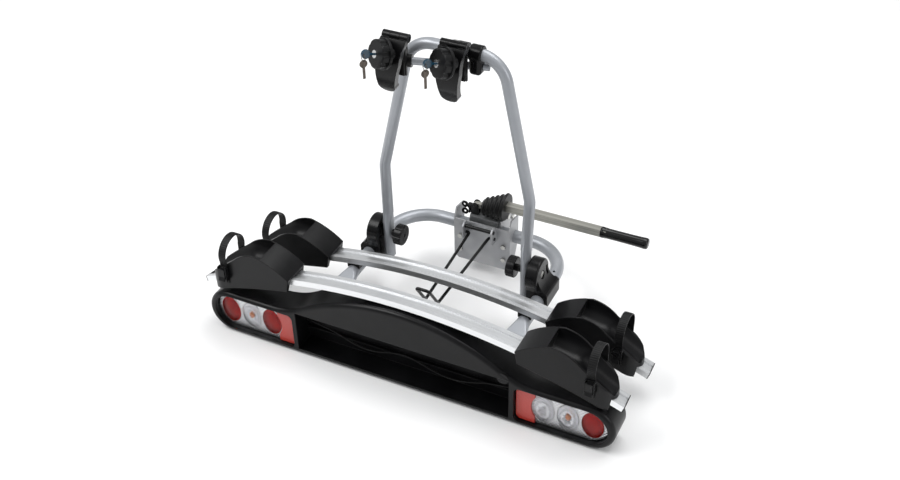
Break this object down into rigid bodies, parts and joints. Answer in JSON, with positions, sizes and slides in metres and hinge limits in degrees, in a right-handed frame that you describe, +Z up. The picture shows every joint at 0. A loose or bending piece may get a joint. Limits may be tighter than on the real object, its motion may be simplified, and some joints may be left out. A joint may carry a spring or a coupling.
{
  "type": "hitch bike rack",
  "caption": "Bicycle carrier that sits on a tow ball, with arched wheel rails, a folding bow with lockable frame clamps, a light board and a tilting platform.",
  "frame": {"origin": "centre of the tow ball that the coupling sits on", "axes": "+X to the right seen from behind the car, along the rails; +Y towards the car; +Z up"},
  "size_m": [1.1078, 0.6263, 0.8098],
  "materials": {
    "silver_paint": "silver-grey satin paint",
    "ribbed_aluminium": "brushed, ribbed",
    "black_plastic": "moulded, fine grain",
    "black_nylon": "moulded, smooth",
    "zinc_plate": "bright zinc",
    "zinc_bolts": "bright zinc",
    "yellow_zinc": "yellowish zinc",
    "cast_zinc": "cast and plated",
    "black_steel": "black coated",
    "black_rubber": "soft, ribbed",
    "grip_rubber": "smooth",
    "clamp_rubber": "soft pad",
    "strap_plastic": "toothed strap",
    "lens_red": "moulded lens",
    "lens_clear": "moulded lens",
    "tray_silver": "silvered tray",
    "cable_black": "cable sheath",
    "lock_chrome": "polished",
    "key_teal": "moulded head",
    "key_dark": "dark nickel"
  },
  "bodies": {
    "coupling": {"coupling_head": "cast_zinc", "coupling_side_plates": "zinc_plate", "coupling_bolts": "zinc_bolts", "lever_fork": "black_steel", "coupling_lock": "black_nylon"},
    "coupling_key": {"coupling_key": "key_dark"},
    "lever": {"lever_bar": "yellow_zinc", "lever_grip": "grip_rubber", "lever_boot": "black_rubber"},
    "platform": {"base_tube": "silver_paint", "flat_bolts": "zinc_bolts", "coupling_bracket": "zinc_plate", "bracket_bolts": "zinc_bolts", "latch_bar": "black_steel", "hinge_bracket_left": "black_nylon", "hinge_bracket_right": "black_nylon", "hinge_bolts": "zinc_bolts", "rail_front": "ribbed_aluminium", "rail_rear": "ribbed_aluminium", "rail_end_caps": "black_nylon", "rail_saddles": "black_nylon", "light_board": "black_plastic", "lamp_trays": "tray_silver", "side_reflectors": "lens_red", "red_lamps": "lens_red", "clear_lamps": "lens_clear", "board_cable": "cable_black"},
    "pedal": {"tilt_pedal": "black_steel"},
    "bow": {"bow_tube": "silver_paint", "arm_collar": "black_nylon"},
    "fold_knob_left": {"fold_knob_left": "black_nylon"},
    "fold_knob_right": {"fold_knob_right": "black_nylon"},
    "holder_front_left": {"wheel_holder_front_left": "black_plastic", "wheel_strap_front_left": "strap_plastic", "strap_buckle_front_left": "black_nylon"},
    "holder_front_right": {"wheel_holder_front_right": "black_plastic", "wheel_strap_front_right": "strap_plastic", "strap_buckle_front_right": "black_nylon"},
    "holder_rear_left": {"wheel_holder_rear_left": "black_plastic", "wheel_strap_rear_left": "strap_plastic", "strap_buckle_rear_left": "black_nylon"},
    "holder_rear_right": {"wheel_holder_rear_right": "black_plastic", "wheel_strap_rear_right": "strap_plastic", "strap_buckle_rear_right": "black_nylon"},
    "arm": {"arm_bar": "silver_paint"},
    "near_clamp": {"near_clamp_base": "black_nylon", "near_clamp_pad": "clamp_rubber"},
    "near_jaw": {"near_clamp_jaw": "black_nylon"},
    "near_knob": {"near_clamp_knob": "black_nylon", "near_clamp_lock": "lock_chrome"},
    "near_key": {"near_clamp_key": "key_teal", "near_spare_key": "key_dark"},
    "far_clamp": {"far_clamp_base": "black_nylon", "far_clamp_pad": "clamp_rubber"},
    "far_jaw": {"far_clamp_jaw": "black_nylon"},
    "far_knob": {"far_clamp_knob": "black_nylon", "far_clamp_lock": "lock_chrome"},
    "far_key": {"far_clamp_key": "key_teal", "far_spare_key": "key_dark"}
  },
  "joints": [
    {"name": "lever_lift", "type": "hinge", "parent": "coupling", "child": "lever", "pos_m": [-0.03, -0.075, 0.072], "axis": [0, -1, 0], "range_deg": [0, 75]},
    {"name": "coupling_key_turn", "type": "hinge", "parent": "coupling", "child": "coupling_key", "pos_m": [-0.054, -0.075, 0.065], "axis": [-1, 0, 0], "range_deg": [0, 90]},
    {"name": "platform_tilt", "type": "hinge", "parent": "coupling", "child": "platform", "pos_m": [0, -0.074, 0.002], "axis": [1, 0, 0], "range_deg": [0, 30]},
    {"name": "pedal_press", "type": "hinge", "parent": "platform", "child": "pedal", "pos_m": [0, -0.122, 0.014], "axis": [1, 0, 0], "range_deg": [0, 6], "stiffness_Nm_per_rad": 3, "springref_deg": -20.05},
    {"name": "bow_fold", "type": "hinge", "parent": "platform", "child": "bow", "pos_m": [0, -0.261, 0.064], "axis": [1, 0, 0], "range_deg": [0, 70]},
    {"name": "fold_knob_turn_left", "type": "hinge", "parent": "platform", "child": "fold_knob_left", "pos_m": [-0.155, -0.261, 0.064], "axis": [-1, 0, 0], "continuous": true},
    {"name": "fold_knob_turn_right", "type": "hinge", "parent": "platform", "child": "fold_knob_right", "pos_m": [0.155, -0.261, 0.064], "axis": [1, 0, 0], "continuous": true},
    {"name": "holder_slide_front_left", "type": "hinge", "parent": "platform", "child": "holder_front_left", "pos_m": [0, -0.5354, -1.398], "axis": [0, -1, 0], "range_deg": [-1, 2]},
    {"name": "holder_slide_front_right", "type": "hinge", "parent": "platform", "child": "holder_front_right", "pos_m": [0, -0.5354, -1.398], "axis": [0, 1, 0], "range_deg": [-1, 2]},
    {"name": "holder_slide_rear_left", "type": "hinge", "parent": "platform", "child": "holder_rear_left", "pos_m": [0, -0.3524, -1.45715], "axis": [0, -1, 0], "range_deg": [-1, 2]},
    {"name": "holder_slide_rear_right", "type": "hinge", "parent": "platform", "child": "holder_rear_right", "pos_m": [0, -0.3524, -1.45715], "axis": [0, 1, 0], "range_deg": [-1, 2]},
    {"name": "arm_slide", "type": "slide", "parent": "bow", "child": "arm", "axis": [-0.9681, -0.2504, 0], "range_m": [-0.01, 0.025]},
    {"name": "far_clamp_turn", "type": "hinge", "parent": "arm", "child": "far_clamp", "pos_m": [-0.1139, -0.27806, 0.586], "axis": [-0.9681, -0.2504, 0], "range_deg": [-12, 12]},
    {"name": "far_jaw_open", "type": "hinge", "parent": "far_clamp", "child": "far_jaw", "pos_m": [-0.1155, -0.3, 0.658], "axis": [-1, 0, 0], "range_deg": [0, 40]},
    {"name": "far_knob_turn", "type": "hinge", "parent": "far_jaw", "child": "far_knob", "pos_m": [-0.13, -0.352, 0.636], "axis": [-0.5099, -0.8099, 0.29], "continuous": true},
    {"name": "far_key_turn", "type": "hinge", "parent": "far_knob", "child": "far_key", "pos_m": [-0.13, -0.352, 0.636], "axis": [-0.5099, -0.8099, 0.29], "range_deg": [0, 90]},
    {"name": "near_clamp_turn", "type": "hinge", "parent": "bow", "child": "near_clamp", "pos_m": [0.018, -0.23672, 0.62], "axis": [1, 0, 0], "range_deg": [-12, 5]},
    {"name": "near_jaw_open", "type": "hinge", "parent": "near_clamp", "child": "near_jaw", "pos_m": [0.025, -0.294, 0.664], "axis": [-1, 0, 0], "range_deg": [0, 40]},
    {"name": "near_knob_turn", "type": "hinge", "parent": "near_jaw", "child": "near_knob", "pos_m": [0.022, -0.352, 0.647], "axis": [-0.5099, -0.8099, 0.29], "continuous": true},
    {"name": "near_key_turn", "type": "hinge", "parent": "near_knob", "child": "near_key", "pos_m": [0.022, -0.352, 0.647], "axis": [-0.5099, -0.8099, 0.29], "range_deg": [0, 90]}
  ]
}
